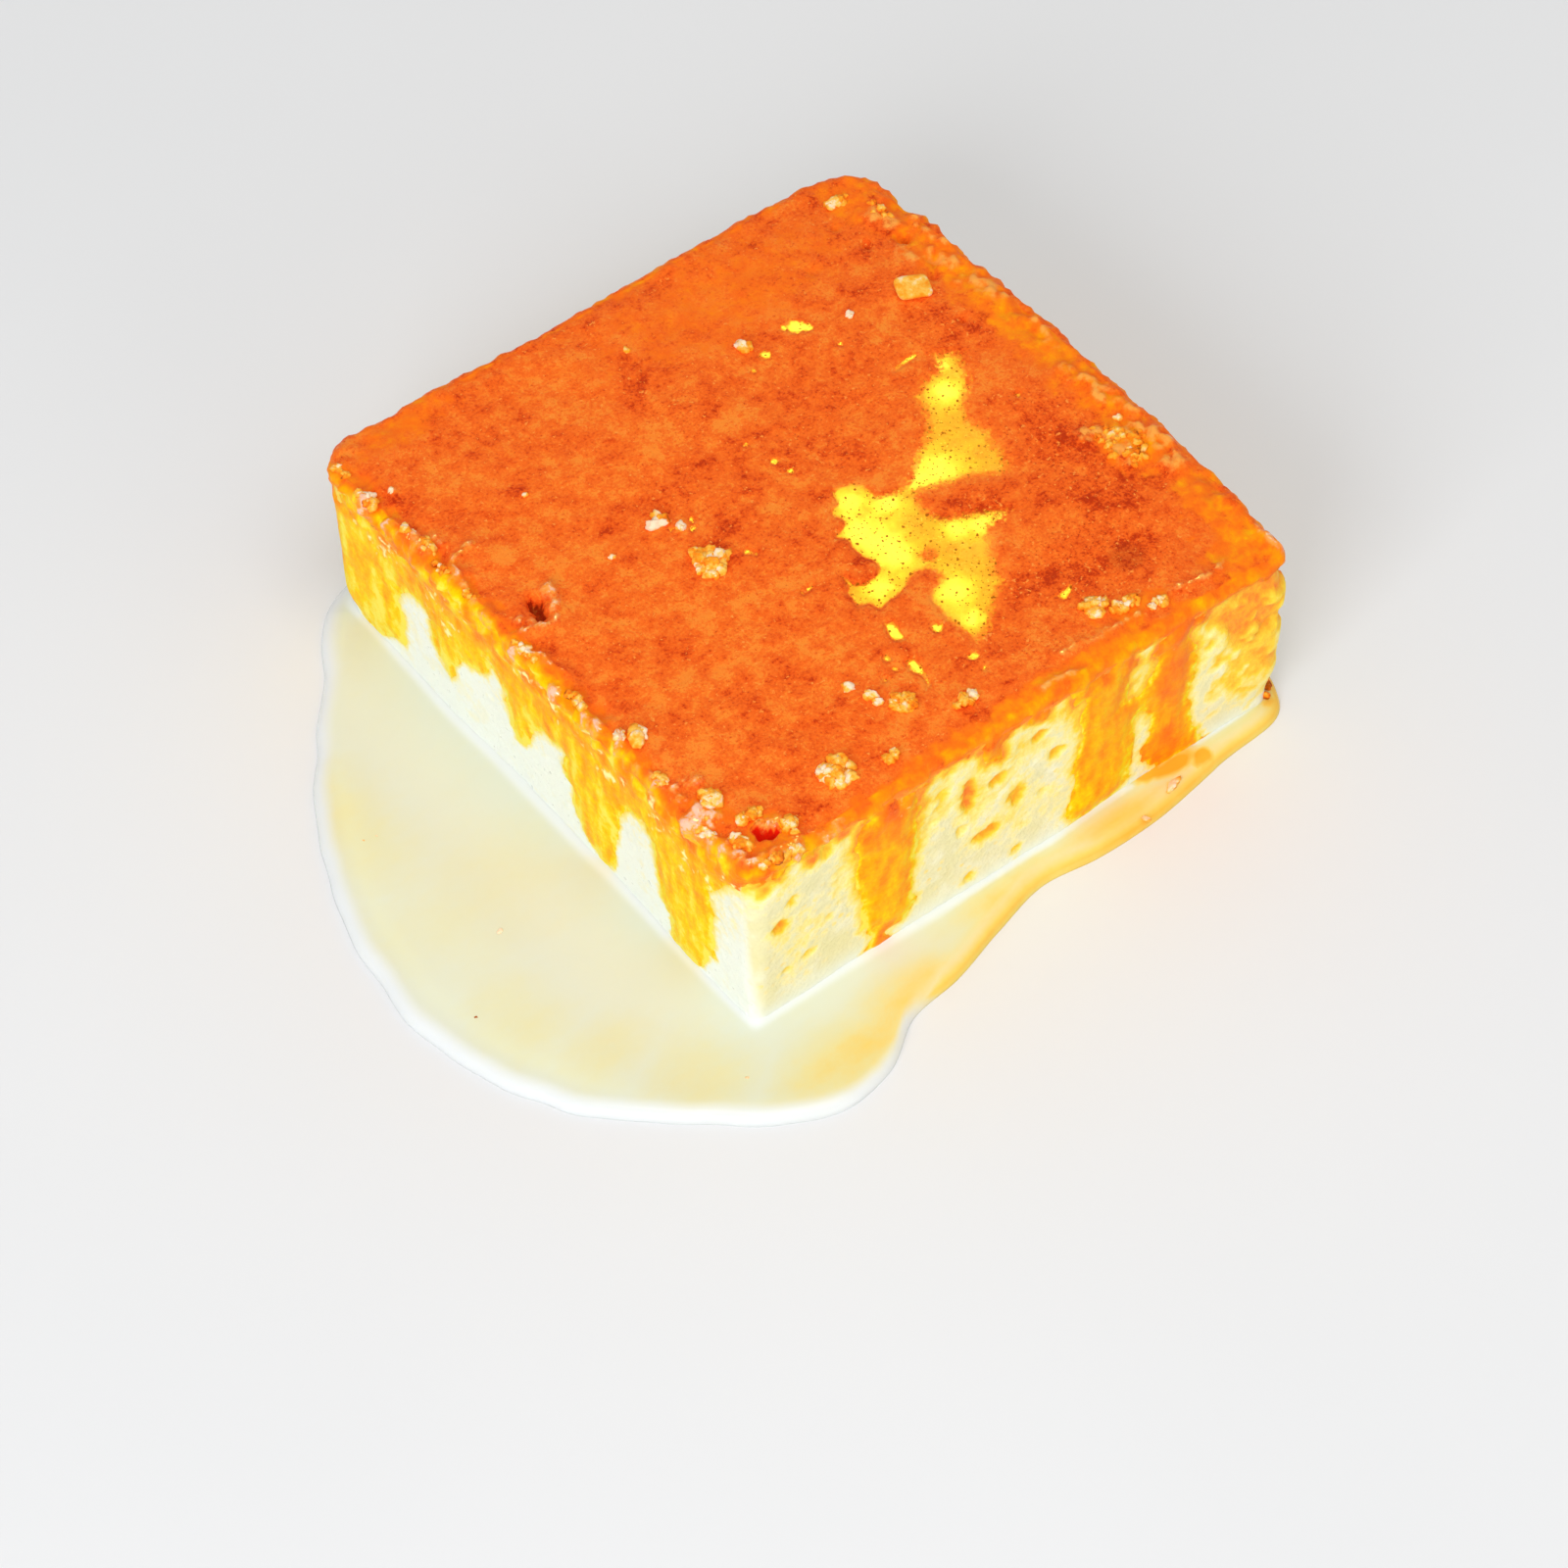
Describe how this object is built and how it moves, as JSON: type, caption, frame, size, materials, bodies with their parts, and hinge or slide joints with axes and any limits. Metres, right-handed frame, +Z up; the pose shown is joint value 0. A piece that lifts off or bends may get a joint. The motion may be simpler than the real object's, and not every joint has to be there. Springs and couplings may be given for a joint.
{
  "type": "caramel trilece",
  "caption": "Square cut of milk-soaked sponge cake under a poured caramel layer that drips down its sides, in a shallow pool of sweet milk.",
  "frame": {"origin": "middle of the sponge's flat underside, on the surface it stands on", "axes": "+Z up through the cake's layers, +X and +Y along its cut sides; the milk pool spreads towards -X and -Y"},
  "size_m": [0.1166, 0.1035, 0.0335],
  "materials": {
    "sponge": "moist porous crumb, soaked with milk",
    "caramel": "wet glossy caramel glaze",
    "milk": "wet sweetened milk, tinted by caramel"
  },
  "bodies": {
    "root": {"sponge": "sponge", "caramel": "caramel", "milk_pool": "milk"}
  },
  "joints": []
}
